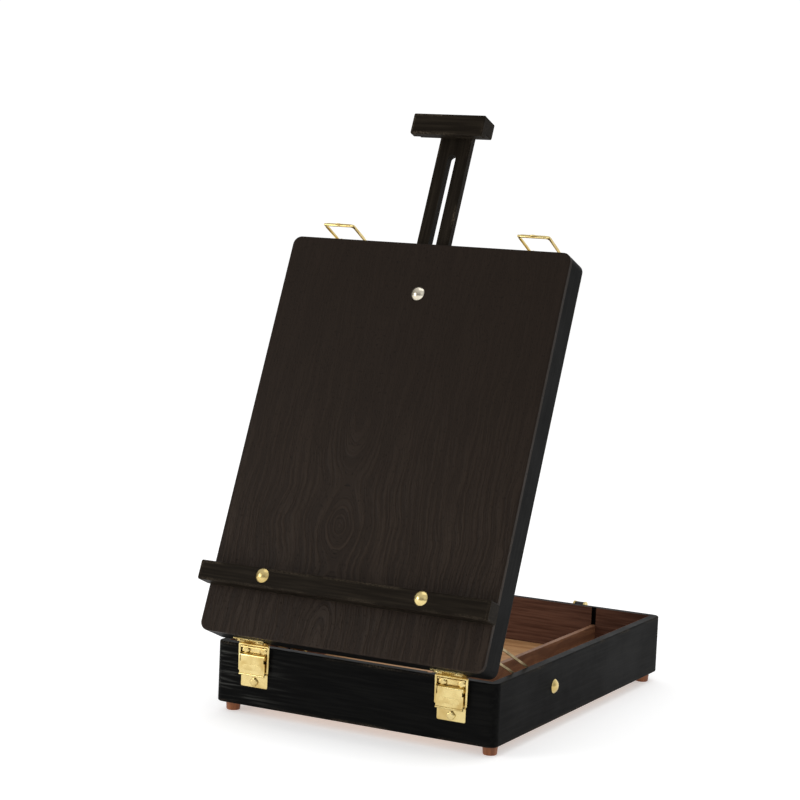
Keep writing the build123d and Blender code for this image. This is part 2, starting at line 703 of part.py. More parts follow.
def on_rear(x, shape):
    return Pos(x, REAR, RIM) * Rot(180, 0, 0) * shape


def screw_group(places):
    """Screws whose heads stand on a latch plate or a strike."""
    return group([along(uw(x, u, LATCH_SHEET), uw(0, 0, 1), screw(SCREW_LENGTH)) for x, u in places])


def screw_holes(places):
    depth = SCREW_LENGTH - LATCH_SHEET + PILOT_SPARE
    return [rod(uw(x, u, -depth), uw(x, u, 1), SCREW_RADIUS + HOLE_CLEARANCE) for x, u in places]


def fitting_holes_base():
    """Pilot holes in the base walls for the front latches, rear strikes and handle."""
    holes = []
    for x in (-LATCH_X, LATCH_X):
        holes += [on_front(x, hole) for hole in screw_holes(latch_screw_places(FRONT_PLATE_END))]
        holes += [on_rear(x, hole) for hole in screw_holes(strike_screw_places(REAR_BAR_U))]
    for x in (-HANDLE_SPACING / 2, HANDLE_SPACING / 2):
        holes += [rod((x, REAR - SCREW_LENGTH, z), (x, REAR + 1, z), SCREW_RADIUS + HOLE_CLEARANCE)
                  for z in bracket_screw_heights()]
    return holes


def fitting_holes_lid():
    """Pilot holes in the lid rails for the front strikes and rear latches."""
    holes = []
    for x in (-LATCH_X, LATCH_X):
        holes += [on_front(x, hole) for hole in screw_holes(strike_screw_places(FRONT_BAR_U))]
        holes += [on_rear(x, hole) for hole in screw_holes(latch_screw_places(REAR_PLATE_END))]
    return holes


def turned_about_pin(shape, angle):
    """Swings a lever piece outwards about its pin."""
    axis = Axis(uw(0, LATCH_PIN_U, LATCH_PIN_W), (-1, 0, 0))
    return shape.rotate(axis, angle)


def rear_foot_point():
    """Where the open rear lever carries the bail's feet, as U and W."""
    angle = math.radians(REAR_LEVER_OPEN)
    foot_u, foot_w = bail_foot()
    du = foot_u - LATCH_PIN_U
    dw = foot_w - LATCH_PIN_W
    u = LATCH_PIN_U + du * math.cos(angle) - dw * math.sin(angle)
    w = LATCH_PIN_W + du * math.sin(angle) + dw * math.cos(angle)
    return u, w


def rear_bail_folded():
    """The rear bail, let go and folded back over its plate."""
    foot_u, foot_w = bail_foot()
    new_u, new_w = rear_foot_point()
    shut_direction = math.degrees(math.atan2(HINGE_OUT - foot_w, REAR_BAR_U - foot_u))
    turn = REAR_BAIL_REST - shut_direction
    swung = latch_bail(REAR_BAR_U).rotate(Axis(uw(0, foot_u, foot_w), (-1, 0, 0)), turn)
    return Pos(*uw(0, new_u - foot_u, new_w - foot_w)) * swung


def build_latches():
    for name, x in (("left", -LATCH_X), ("right", LATCH_X)):
        parts["front_latch_plate_" + name] = on_front(x, latch_plate(FRONT_PLATE_END))
        parts["front_latch_pin_" + name] = on_front(x, latch_pin())
        parts["front_latch_lever_" + name] = on_front(x, latch_lever())
        parts["front_latch_bail_" + name] = on_front(x, latch_bail(FRONT_BAR_U))
        parts["front_strike_" + name] = opened(on_front(x, strike(FRONT_BAR_U)))
        parts["rear_latch_plate_" + name] = opened(on_rear(x, latch_plate(REAR_PLATE_END)))
        parts["rear_latch_pin_" + name] = opened(on_rear(x, latch_pin()))
        lever = turned_about_pin(latch_lever(), REAR_LEVER_OPEN)
        parts["rear_latch_lever_" + name] = opened(on_rear(x, lever))
        parts["rear_latch_bail_" + name] = opened(on_rear(x, rear_bail_folded()))
        parts["rear_strike_" + name] = on_rear(x, strike(REAR_BAR_U))
    base_screws = []
    lid_screws = []
    for x in (-LATCH_X, LATCH_X):
        base_screws += [on_front(x, screw_group(latch_screw_places(FRONT_PLATE_END)))]
        base_screws += [on_rear(x, screw_group(strike_screw_places(REAR_BAR_U)))]
        lid_screws += [on_front(x, screw_group(strike_screw_places(FRONT_BAR_U)))]
        lid_screws += [on_rear(x, screw_group(latch_screw_places(REAR_PLATE_END)))]
    parts["base_fitting_screws"] = group(base_screws)
    parts["lid_fitting_screws"] = opened(group(lid_screws))


# ------------------------------------------------------------------ carry handle

def handle_axis():
    return REAR + BRACKET_OUT, RIM - HANDLE_AXIS_DOWN


def bracket_screw_heights():
    return [RIM - HANDLE_AXIS_DOWN - drop for drop in BRACKET_SCREW_DROPS]


def handle_bracket(x):
    """A small wall plate with two lugs for the handle's pin."""
    y, z = handle_axis()
    half = BRACKET_WIDTH / 2
    top = z + BRACKET_EYE_RADIUS / 2
    plate = block((x - half, REAR, z - BRACKET_HEIGHT), (x + half, REAR + BRACKET_SHEET, top))
    plate = fillet(plate.edges().filter_by(Axis.Y), BRACKET_CORNER_RADIUS)
    for low in (x - half, x + half - BRACKET_LUG):
        high = low + BRACKET_LUG
        lug = rod((low, y, z), (high, y, z), BRACKET_EYE_RADIUS)
        web = block((low, REAR, z - BRACKET_EYE_RADIUS), (high, y, top))
        plate = plate + lug + web
    plate = plate - rod((x - half - 1, y, z), (x + half + 1, y, z), HANDLE_PIN_RADIUS + HOLE_CLEARANCE)
    for height in bracket_screw_heights():
        plate = plate - rod((x, REAR - 1, height), (x, REAR + 2, height), SCREW_RADIUS + HOLE_CLEARANCE)
    return plate


def handle_pin(x):
    y, z = handle_axis()
    half = BRACKET_WIDTH / 2 + HANDLE_PIN_OVERHANG
    return rod((x - half, y, z), (x + half, y, z), HANDLE_PIN_RADIUS)


def carry_handle():
    """A moulded grip on two arms that turn on the brackets' pins."""
    y, z = handle_axis()
    arm_half = BRACKET_WIDTH / 2 - BRACKET_LUG - MOVING_GAP
    eye = BRACKET_EYE_RADIUS * 0.9
    grip_z = z - HANDLE_DROP
    grip_half = HANDLE_SPACING / 2 + arm_half + HANDLE_GRIP_OVERHANG
    thick = HANDLE_GRIP_THICKNESS / 2
    tall = HANDLE_GRIP_HEIGHT / 2
    grip = block((-grip_half, y - thick, grip_z - tall), (grip_half, y + thick, grip_z + tall))
    grip = fillet(grip.edges(), thick * 0.8)
    handle = grip
    for x in (-HANDLE_SPACING / 2, HANDLE_SPACING / 2):
        arm = block((x - arm_half, y - eye * 0.7, grip_z), (x + arm_half, y + eye * 0.7, z))
        handle = handle + arm + rod((x - arm_half, y, z), (x + arm_half, y, z), eye)
    for x in (-HANDLE_SPACING / 2, HANDLE_SPACING / 2):
        handle = handle - rod((x - 10, y, z), (x + 10, y, z), HANDLE_PIN_RADIUS + THREAD_CLEARANCE)
    return handle


def build_handle():
    places = (-HANDLE_SPACING / 2, HANDLE_SPACING / 2)
    parts["handle_brackets"] = group(handle_bracket(x) for x in places)
    parts["handle_pins"] = group(handle_pin(x) for x in places)
    parts["handle_screws"] = group(
        along((x, REAR + BRACKET_SHEET, height), (0, 1, 0), screw(SCREW_LENGTH - PILOT_SPARE))
        for x in places for height in bracket_screw_heights())
    parts["carry_handle"] = carry_handle()


# ------------------------------------------------------------------ whole easel

def opened_point(x, y, z):
    """A point of the shut lid, moved with it to the leaning position."""
    angle = math.radians(LID_ANGLE)
    arm = Vector(x, y, z) - HINGE
    turned_y = arm.Y * math.cos(angle) - arm.Z * math.sin(angle)
    turned_z = arm.Y * math.sin(angle) + arm.Z * math.cos(angle)
    return HINGE + Vector(x, turned_y, turned_z)


def joint_points():
    """The places and directions that the moving joints turn or slide about."""
    lean = math.radians(LID_ANGLE)
    up_lid = Vector(0, math.cos(lean), math.sin(lean))
    foot_u, foot_w = bail_foot()
    rear_u, rear_w = rear_foot_point()
    handle_y, handle_z = handle_axis()
    ledge_top = FRONT + LEDGE_FROM_BOTTOM + LEDGE_HEIGHT
    points = {
        "lid_hinge": HINGE,
        "mast_slide_direction": up_lid,
        "clamp": opened_point(0, CLAMP_Y, MAST_BACK),
        "stay_pivot": opened_point(*stay_pivot()),
        "stay_bolt": Vector(0, STAY_BOLT_Y, STAY_BOLT_Z),
        "front_lever": Vector(0, FRONT - LATCH_PIN_W, RIM - LATCH_PIN_U),
        "front_bail": Vector(0, FRONT - foot_w, RIM - foot_u),
        "rear_lever": opened_point(0, REAR + LATCH_PIN_W, RIM + LATCH_PIN_U),
        "rear_bail": opened_point(0, REAR + rear_w, RIM + rear_u),
        "handle": Vector(0, handle_y, handle_z),
        "panel_middle": opened_point(0, 0, LID_FACE),
        "ledge_middle": opened_point(0, ledge_top, LID_FACE + LEDGE_DEPTH / 2),
    }
    return points


def main():
    build_base()
    build_lid()
    build_mast()
    build_clamp()
    build_ledge()
    build_stays()
    build_latches()
    build_handle()
    boxes = [shape.bounding_box() for shape in parts.values()]
    front_most = min(box.min.Y for box in boxes)
    rear_most = max(box.max.Y for box in boxes)
    shift = -(front_most + rear_most) / 2
    os.makedirs("parts", exist_ok=True)
    for name, shape in parts.items():
        export_step(Pos(0, shift, 0) * shape, "parts/" + name + ".step")
    print("shift", round(shift, 4))
    for name, point in joint_points().items():
        moved = 0 if name.endswith("direction") else shift
        print("point", name, round(point.X, 5), round(point.Y + moved, 5), round(point.Z, 5))


main()
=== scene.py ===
import json
import math

import bmesh
import bpy
from mathutils import Matrix, Vector


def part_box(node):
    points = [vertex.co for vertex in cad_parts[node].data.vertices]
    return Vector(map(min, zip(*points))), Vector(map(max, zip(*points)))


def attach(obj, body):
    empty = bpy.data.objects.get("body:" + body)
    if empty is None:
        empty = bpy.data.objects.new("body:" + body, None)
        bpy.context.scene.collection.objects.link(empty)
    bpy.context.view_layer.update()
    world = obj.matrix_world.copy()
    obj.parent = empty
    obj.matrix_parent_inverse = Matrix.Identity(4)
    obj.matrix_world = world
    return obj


# Looks of the black tabletop easel: stained and painted woods, brass fittings, steel screws.
# Metres, +Z up, the user's side at -Y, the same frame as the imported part.

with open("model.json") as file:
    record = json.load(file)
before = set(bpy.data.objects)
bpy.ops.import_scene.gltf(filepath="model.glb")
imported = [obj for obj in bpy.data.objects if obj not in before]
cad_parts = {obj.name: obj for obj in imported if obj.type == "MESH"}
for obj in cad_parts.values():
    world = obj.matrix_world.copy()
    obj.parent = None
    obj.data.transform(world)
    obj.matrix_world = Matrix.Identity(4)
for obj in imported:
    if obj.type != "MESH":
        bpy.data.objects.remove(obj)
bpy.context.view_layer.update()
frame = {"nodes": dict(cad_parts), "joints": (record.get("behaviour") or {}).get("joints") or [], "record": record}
nodes = frame["nodes"]
MM = 0.001
STREAK_SQUEEZE = 0.045
SHARP_FACE = math.radians(32)
SHARP_CROWN = math.radians(50)
SHARP_PIECE = math.radians(40)
INSET_SPARE = 0.3 * MM

# ---- camera and light ----
CAMERA_PLACE = (0.86705, -1.7472, 0.46688)
CAMERA_TURN = math.radians(27.78)
CAMERA_DOWN = math.radians(6.085)
CAMERA_ROLL = math.radians(2.469)
CAMERA_LENS = 102.16
CAMERA_SENSOR = 36.0
FLOOR_RADIUS = 9.0
BEHIND_LIGHT = 1.05
FRONT_LIGHT = 0.34
ZENITH_LIGHT = 0.72
FLOOR_GLOW = 0.42
FRONT_REACH = (0.0, 0.6)
ZENITH_REACH = (0.25, 0.8)
LIGHTS = {
    "key": {"place": (-0.95, -1.25, 0.55), "size": 0.7, "watts": 7.5},
    "fill": {"place": (1.7, -1.2, 1.1), "size": 1.4, "watts": 2.0},
    "top": {"place": (0.3, 0.2, 2.2), "size": 1.6, "watts": 6.0},
}
LIGHT_AIM = Vector((0.0, 0.0, 0.2))

# ---- colours, as the eye sees them (sRGB) ----
PANEL_DARK = (0.130, 0.102, 0.082)
PANEL_LIGHT = (0.200, 0.164, 0.136)
PAINT_BLACK = (0.048, 0.048, 0.048)
PAINT_GREY = (0.082, 0.082, 0.078)
WARM_BLACK = (0.100, 0.084, 0.066)
WARM_BROWN = (0.150, 0.130, 0.105)
WORN_EDGE = (0.34, 0.30, 0.25)
SCUFF_GREY = (0.25, 0.25, 0.24)
INNER_RED = (0.45, 0.320, 0.262)
INNER_DARK = (0.33, 0.225, 0.180)
FLOOR_PALE = (0.78, 0.60, 0.41)
FLOOR_DEEP = (0.63, 0.44, 0.27)
DIVIDER_PALE = (0.60, 0.43, 0.31)
DIVIDER_DEEP = (0.42, 0.28, 0.20)
FOOT_PALE = (0.60, 0.36, 0.20)
FOOT_DEEP = (0.42, 0.22, 0.10)
GOLD = (0.87, 0.79, 0.55)
GOLD_DEEP = (0.76, 0.65, 0.40)
OLD_BRASS = (0.62, 0.55, 0.40)
OLD_BRASS_DEEP = (0.45, 0.38, 0.25)
SILVER = (0.90, 0.87, 0.80)
SILVER_DEEP = (0.74, 0.70, 0.62)
STEEL = (0.72, 0.72, 0.71)
STEEL_DEEP = (0.50, 0.50, 0.49)
RESIN_BLACK = (0.060, 0.058, 0.056)
RESIN_GREY = (0.100, 0.098, 0.095)
FLOOR_WHITE = (0.95, 0.95, 0.95)


# ------------------------------------------------------------------ places, from the frame

def joint(name):
    return next(j for j in frame["joints"] if j["name"] == name)


UP_LID = Vector(joint("mast_slide")["axis"]).normalized()
LID_LEAN = math.atan2(UP_LID.z, UP_LID.y)
HINGE = Vector(joint("lid_hinge")["pos_m"])
BASE_NODES = ("base_front_wall", "base_rear_wall", "base_left_wall", "base_right_wall")
LID_NODES = ("lid_panel", "lid_front_rail", "lid_rear_rail", "lid_left_rail", "lid_right_rail")
WARM_NODES = ("mast", "mast_guides", "mast_head", "canvas_ledge")
ACROSS_NODES = ("base_front_wall", "base_rear_wall", "lid_front_rail", "lid_rear_rail",
                "mast_head", "canvas_ledge")
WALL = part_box("base_right_wall")[1].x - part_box("base_right_wall")[0].x
KNOT_ACROSS = -0.0234
KNOT_UP_LID = 0.104
KNOT_REACH = 0.036
SCUFF_REACH = 0.085
KNOT_ROUNDNESS = 0.85


def box_of(names):
    """The lowest and highest corners of several CAD nodes."""
    lows, highs = zip(*(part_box(name) for name in names))
    low = Vector(min(v[i] for v in lows) for i in range(3))
    high = Vector(max(v[i] for v in highs) for i in range(3))
    return low, high


def lid_place(point):
    """A point in the lid's own frame: X across, Y up the lid from the hinge, Z out of its face."""
    return Matrix.Rotation(-LID_LEAN, 3, "X") @ (Vector(point) - HINGE)


def lid_box(names):
    """The corners of several CAD nodes in the lid's own frame."""
    points = [lid_place(vertex.co) for name in names for vertex in nodes[name].data.vertices]
    low = Vector(min(p[i] for p in points) for i in range(3))
    high = Vector(max(p[i] for p in points) for i in range(3))
    return low, high


# ------------------------------------------------------------------ material graphs

def linear(colour):
    """An sRGB colour as the shader's linear one."""
    def one(v):
        return v / 12.92 if v <= 0.04045 else ((v + 0.055) / 1.055) ** 2.4
    return (*[one(v) for v in colour], 1.0)


class Graph:
    """One material's node tree, with a short call for each kind of node."""

    def __init__(self, name):
        self.material = bpy.data.materials.new(name)
        self.material.use_nodes = True
        self.tree = self.material.node_tree
        self.surface = self.tree.nodes["Principled BSDF"]

    def put(self, socket, value):
        if isinstance(value, bpy.types.NodeSocket):
            self.tree.links.new(value, socket)
        else:
            socket.default_value = value

    def add(self, kind, inputs, settings=()):
        made = self.tree.nodes.new("ShaderNode" + kind)
        for key, value in dict(settings).items():
            setattr(made, key, value)
        for key, value in inputs.items():
            self.put(made.inputs[key], value)
        return made

    def place(self, turn=0.0, origin=(0, 0, 0)):
        """Object coordinates, moved to an origin and turned back by a lean about X."""
        texture = self.add("TexCoord", {})
        moved = self.vector("SUBTRACT", texture.outputs["Object"], tuple(origin))
        inputs = {"Vector": moved, "Angle": -turn}
        rotated = self.add("VectorRotate", inputs, {"rotation_type": "X_AXIS"})
        return rotated.outputs["Vector"]

    def vector(self, operation, a, b=None):
        made = self.add("VectorMath", {0: a}, {"operation": operation})
        if b is not None:
            self.put(made.inputs[1], b)
        return made.outputs["Vector"]

    def split(self, vector):
        made = self.add("SeparateXYZ", {"Vector": vector})
        return made.outputs["X"], made.outputs["Y"], made.outputs["Z"]

    def join(self, x, y, z):
        return self.add("CombineXYZ", {"X": x, "Y": y, "Z": z}).outputs["Vector"]

    def sum(self, operation, a, b=0.0):
        made = self.add("Math", {0: a, 1: b}, {"operation": operation})
        return made.outputs["Value"]

    def noise(self, vector, scale, detail=3.0, roughness=0.5, distortion=0.0):
        inputs = {"Vector": vector, "Scale": scale, "Detail": detail,
                  "Roughness": roughness, "Distortion": distortion}
        return self.add("TexNoise", inputs).outputs["Fac"]

    def fade(self, value, start, end, low=0.0, high=1.0):
        """Maps a value from start..end to low..high, smoothly and clamped."""
        inputs = {"Value": value, "From Min": start, "From Max": end, "To Min": low, "To Max": high}
        return self.add("MapRange", inputs, {"interpolation_type": "SMOOTHSTEP"}).outputs["Result"]

    def blend(self, share, a, b):
        made = self.add("Mix", {"Factor": share}, {"data_type": "RGBA"})
        colours = [s for s in made.inputs if s.type == "RGBA"]
        self.put(colours[0], a)
        self.put(colours[1], b)
        return next(s for s in made.outputs if s.type == "RGBA")

    def bump(self, height, distance, strength=1.0):
        inputs = {"Height": height, "Distance": distance, "Strength": strength}
        return self.add("Bump", inputs).outputs["Normal"]

    def finish(self, colour, roughness, normal, metallic=0.0, specular=0.5):
        self.put(self.surface.inputs["Base Color"], colour)
        self.put(self.surface.inputs["Roughness"], roughness)
        self.put(self.surface.inputs["Normal"], normal)
        self.surface.inputs["Metallic"].default_value = metallic
        self.surface.inputs["Specular IOR Level"].default_value = specular
        return self.material


def box_gaps(graph, place, low, high):
    """How far inside a box's sides a point lies, in X, in Y and in Z."""
    centre = (Vector(low) + Vector(high)) / 2
    half = (Vector(high) - Vector(low)) / 2
    off = graph.vector("ABSOLUTE", graph.vector("SUBTRACT", place, tuple(centre)))
    return graph.split(graph.vector("SUBTRACT", tuple(half), off))


def edge_gap(graph, place, low, high):
    """How far a point lies from the nearest edge of a box, along the two faces beside it."""
    gap_x, gap_y, gap_z = box_gaps(graph, place, low, high)
    pairs = [graph.sum("ADD", a, b) for a, b in ((gap_x, gap_y), (gap_y, gap_z), (gap_x, gap_z))]
    return graph.sum("MINIMUM", graph.sum("MINIMUM", pairs[0], pairs[1]), pairs[2])


def inside_mask(graph, place, low, high):
    """1 where a point lies within a box's sides in X and Y and below its top, 0 outside."""
    gap_x, gap_y, gap_z = box_gaps(graph, place, low, high)
    least = graph.sum("MINIMUM", graph.sum("MINIMUM", gap_x, gap_y), gap_z)
    return graph.sum("GREATER_THAN", least, 0.0)


def along(graph, place, axis):
    """Coordinates squeezed along one axis, so that noise draws streaks along it."""
    squeeze = [1.0, 1.0, 1.0]
    squeeze["XYZ".index(axis)] = STREAK_SQUEEZE
    return graph.vector("MULTIPLY", place, tuple(squeeze))


# ------------------------------------------------------------------ woods

PANEL_SWING = 0.036
PANEL_SHIVER = 0.008
PANEL_BANDS = 470.0
PANEL_FINE = 1150.0
PANEL_PORES = 2300.0
# heights up the lid where the painted sheen on the grain and its deeper relief are full, and where they have faded
SHEEN_GRAIN_LOW = 0.04
SHEEN_GRAIN_HIGH = 0.27
PANEL_RELIEF = 0.50 * MM
PAINT_STREAKS = 420.0
PAINT_CLOUD = 22.0
PAINT_SPECK = 900.0
PAINT_RELIEF = 0.10 * MM
RUB_REACH = (3.2 * MM, 0.6 * MM)
WOOD_BANDS = 160.0
WOOD_PORES = 1300.0
WOOD_RELIEF = 0.15 * MM


def knot_rings(graph, across, up, wander, ripple):
    """How far a point lies from the knot's line, bent round the knot near it."""
    swing = graph.sum("MULTIPLY", graph.sum("SUBTRACT", wander, 0.5), PANEL_SWING)
    shiver = graph.sum("MULTIPLY", graph.sum("SUBTRACT", ripple, 0.5), PANEL_SHIVER)
    bend = graph.sum("ADD", swing, shiver)
    side = graph.sum("ADD", graph.sum("SUBTRACT", across, KNOT_ACROSS), bend)
    rise = graph.sum("SUBTRACT", up, KNOT_UP_LID)
    reach = graph.sum("POWER", graph.sum("DIVIDE", rise, KNOT_REACH), 2.0)
    falloff = graph.sum("POWER", math.e, graph.sum("MULTIPLY", reach, -1.0))
    height = graph.sum("POWER", graph.sum("MULTIPLY", rise, KNOT_ROUNDNESS), 2.0)
    eye = graph.sum("MULTIPLY", height, falloff)
    width = graph.sum("POWER", graph.sum("ABSOLUTE", side), 2.0)
    return graph.sum("SQRT", graph.sum("ADD", width, eye))


def panel_stain():
    """The lid's face: open grain that flows up the lid and round a knot, under a satin stain, with a painted sheen
    that lightens the grain low on the lid.
    """
    graph = Graph("lid_panel_stain")
    place = graph.place(LID_LEAN, HINGE)
    across, up, out = graph.split(place)
    wander = graph.noise(graph.vector("MULTIPLY", place, (1.0, 0.45, 1.0)), 9.0, 2.0, 0.5)
    ripple = graph.noise(graph.vector("MULTIPLY", place, (1.0, 0.6, 1.0)), 55.0, 2.0, 0.5)
    rings = knot_rings(graph, across, up, wander, ripple)
    flow = graph.join(rings, graph.sum("MULTIPLY", up, 0.035), graph.sum("MULTIPLY", out, 0.2))
    bands = graph.noise(flow, PANEL_BANDS, 2.0, 0.55)
    long_streak = graph.join(rings, graph.sum("MULTIPLY", up, 0.06), 0.0)
    short_streak = graph.join(rings, graph.sum("MULTIPLY", up, 0.16), 0.0)
    fine = graph.noise(long_streak, PANEL_FINE, 2.0, 0.6)
    pores = graph.noise(short_streak, PANEL_PORES, 1.0, 0.5)
    cloud = graph.noise(place, 14.0, 3.0, 0.6)
    ridge = graph.fade(bands, 0.38, 0.66)
    grain = graph.sum("ADD", graph.sum("MULTIPLY", ridge, 0.6), graph.sum("MULTIPLY", fine, 0.4))
    # painted sheen: the grain's light streaks are painted brighter low on the lid and fade out near the top; the
    # same fade also makes the grain's relief deeper low on the lid
    grain_depth_and_sheen = graph.fade(up, SHEEN_GRAIN_HIGH, SHEEN_GRAIN_LOW, 0.22, 1.0)
    uneven = graph.fade(cloud, 0.2, 0.8, 0.75, 1.1)
    grain_with_depth_and_sheen = graph.sum("MULTIPLY", grain, grain_depth_and_sheen)
    share = graph.sum("MULTIPLY", grain_with_depth_and_sheen, uneven)
    # the colour holds the painted sheen: grain streaks painted lighter low on the lid, over an uneven stain
    colour = graph.blend(share, linear(PANEL_DARK), linear(PANEL_LIGHT))
    cut = graph.fade(pores, 0.62, 0.74)
    colour = graph.blend(graph.sum("MULTIPLY", cut, 0.55), colour, linear(PAINT_BLACK))
    relief = graph.sum("SUBTRACT", grain_with_depth_and_sheen, graph.sum("MULTIPLY", cut, 0.5))
    roughness = graph.fade(cloud, 0.25, 0.75, 0.40, 0.52)
    return graph.finish(colour, roughness, graph.bump(relief, PANEL_RELIEF, 1.0), specular=0.06)


def painted_wood(name, axis, low, high, turn=0.0, origin=(0, 0, 0),
                 inner=None, scuff=None, tones=(PAINT_BLACK, PAINT_GREY)):
    """Black satin paint over close-grained wood, rubbed at the long edges; brown stain inside."""
    graph = Graph(name)
    place = graph.place(turn, origin)
    streaks = graph.noise(along(graph, place, axis), PAINT_STREAKS, 3.0, 0.6)
    cloud = graph.noise(place, PAINT_CLOUD, 3.0, 0.6)
    speck = graph.noise(place, PAINT_SPECK, 2.0, 0.6)
    colour = graph.blend(graph.fade(streaks, 0.35, 0.75), linear(tones[0]), linear(tones[1]))
    gap = edge_gap(graph, place, low, high)
    rub = graph.sum("MULTIPLY", graph.fade(gap, *RUB_REACH), graph.fade(cloud, 0.42, 0.68))
    rub = graph.sum("MULTIPLY", rub, graph.fade(speck, 0.42, 0.62))
    colour = graph.blend(graph.sum("MULTIPLY", rub, 0.75), colour, linear(WORN_EDGE))
    roughness = graph.fade(cloud, 0.25, 0.75, 0.36, 0.50)
    relief = graph.sum("ADD", streaks, graph.sum("MULTIPLY", speck, 0.25))
    if scuff is not None:
        away = graph.add("VectorMath", {0: place, 1: tuple(scuff[0])}, {"operation": "DISTANCE"})
        near = graph.fade(away.outputs["Value"], scuff[1], 0.0)
        mark = graph.sum("MULTIPLY", near, graph.fade(streaks, 0.50, 0.72))
        colour = graph.blend(mark, colour, linear(SCUFF_GREY))
    if inner is not None:
        bare = inside_mask(graph, place, inner[0], inner[1])
        stain = graph.blend(graph.fade(streaks, 0.3, 0.7), linear(INNER_DARK), linear(INNER_RED))
        colour = graph.blend(bare, colour, stain)
        roughness = graph.sum("ADD", roughness, graph.sum("MULTIPLY", bare, 0.2))
    return graph.finish(colour, roughness, graph.bump(relief, PAINT_RELIEF, 0.5), specular=0.016)


def bare_wood(name, axis, pale, deep, roughness=0.62, fineness=1.0):
    """Clear or lightly stained wood with growth bands and short pores along one axis."""
    graph = Graph(name)
    place = graph.place()
    wander = graph.noise(place, 12.0, 2.0, 0.5, 0.4)
    shifted = graph.vector("ADD", place, graph.join(*[graph.sum("MULTIPLY", wander, 0.02)] * 3))
    bands = graph.noise(along(graph, shifted, axis), WOOD_BANDS * fineness, 3.0, 0.55)
    pores = graph.noise(along(graph, shifted, axis), WOOD_PORES * fineness, 2.0, 0.6)
    cloud = graph.noise(place, 30.0, 2.0, 0.6)
    banded = graph.sum("MULTIPLY", graph.fade(bands, 0.35, 0.65), 0.7)
    share = graph.sum("ADD", banded, graph.sum("MULTIPLY", cloud, 0.3))
    colour = graph.blend(share, linear(pale), linear(deep))
    cut = graph.fade(pores, 0.60, 0.72)
    colour = graph.blend(graph.sum("MULTIPLY", cut, 0.35), colour, linear([v * 0.6 for v in deep]))
    relief = graph.sum("SUBTRACT", bands, graph.sum("MULTIPLY", cut, 0.6))
    rough = graph.fade(cloud, 0.2, 0.8, roughness - 0.06, roughness + 0.06)
    return graph.finish(colour, rough, graph.bump(relief, WOOD_RELIEF, 0.5), specular=0.35)


# ------------------------------------------------------------------ metals and resin

METAL_CLOUD = 70.0
METAL_RUBBING = 5200.0
METAL_DENTS = 420.0
METAL_RELIEF = 0.008 * MM
RESIN_CELLS = 900.0
RESIN_RELIEF = 0.10 * MM


def metal(name, bright, deep, roughness):
    """Plated or solid metal with soft stains, fine rubbing marks and a slightly dimpled surface."""
    graph = Graph(name)
    place = graph.place()
    cloud = graph.noise(place, METAL_CLOUD, 2.0, 0.5)
    rubbing = graph.noise(graph.vector("MULTIPLY", place, (1.0, 0.06, 0.06)), METAL_RUBBING, 2.0, 0.6)
    dents = graph.noise(place, METAL_DENTS, 2.0, 0.5)
    colour = graph.blend(graph.fade(cloud, 0.35, 0.75), linear(bright), linear(deep))
    rough = graph.sum("ADD", graph.fade(cloud, 0.3, 0.75, roughness - 0.03, roughness + 0.06),
                      graph.sum("MULTIPLY", graph.sum("SUBTRACT", rubbing, 0.5), 0.06))
    relief = graph.sum("ADD", dents, graph.sum("MULTIPLY", rubbing, 0.05))
    return graph.finish(colour, rough, graph.bump(relief, METAL_RELIEF, 0.3), metallic=1.0)


def resin(name):
    """Black moulded plastic with a fine leathery texture."""
    graph = Graph(name)
    place = graph.place()
    cells = graph.add("TexVoronoi", {"Vector": place, "Scale": RESIN_CELLS}).outputs["Distance"]
    cloud = graph.noise(place, 60.0, 2.0, 0.5)
    colour = graph.blend(graph.fade(cloud, 0.3, 0.7), linear(RESIN_BLACK), linear(RESIN_GREY))
    rough = graph.fade(cloud, 0.3, 0.7, 0.48, 0.60)
    return graph.finish(colour, rough, graph.bump(cells, RESIN_RELIEF, 0.5), specular=0.4)


# ------------------------------------------------------------------ dressing the CAD nodes

def dress(material, *names):
    for name in names:
        mesh = nodes[name].data
        mesh.materials.clear()
        mesh.materials.append(material)


def shade_smooth():
    """Smooth shading on curved faces, with crisp edges kept."""
    for node in nodes.values():
        node.data.shade_smooth()
        node.data.set_sharp_from_angle(angle=SHARP_FACE)


def grain_axis(name):
    """The direction a painted board's grain runs: across the easel, or front to back."""
    return "X" if name in ACROSS_NODES else "Y"


def dress_woods():
    base_low, base_high = box_of(BASE_NODES)
    inset = Vector((WALL - INSET_SPARE, WALL - INSET_SPARE, -1.0))
    inner = (base_low + inset, base_high - inset)
    scuff = (base_low + Vector((0.0, 0.0, 0.6 * (base_high.z - base_low.z))), SCUFF_REACH)
    for name in BASE_NODES:
        dress(painted_wood(name + "_paint", grain_axis(name), base_low, base_high,
                           inner=inner, scuff=scuff), name)
    lid_low, lid_high = lid_box(LID_NODES)
    lid_inner = (lid_low + inset, lid_high - inset)
    for name in LID_NODES[1:]:
        dress(painted_wood(name + "_paint", grain_axis(name), lid_low, lid_high, LID_LEAN, HINGE,
                           inner=lid_inner), name)
    dress(panel_stain(), "lid_panel")
    for name in WARM_NODES:
        low, high = lid_box([name])
        dress(painted_wood(name + "_paint", grain_axis(name), low, high, LID_LEAN, HINGE,
                           tones=(WARM_BLACK, WARM_BROWN)), name)
    dress(bare_wood("floor_ply", "X", FLOOR_PALE, FLOOR_DEEP), "floor_panel")
    dress(bare_wood("divider_wood", "Y", DIVIDER_PALE, DIVIDER_DEEP), "divider")
    dress(bare_wood("corner_block_wood", "X", FLOOR_DEEP, DIVIDER_DEEP), "foot_blocks")
    dress(bare_wood("turned_foot_wood", "Z", FOOT_PALE, FOOT_DEEP, 0.38, fineness=2.0), "feet")


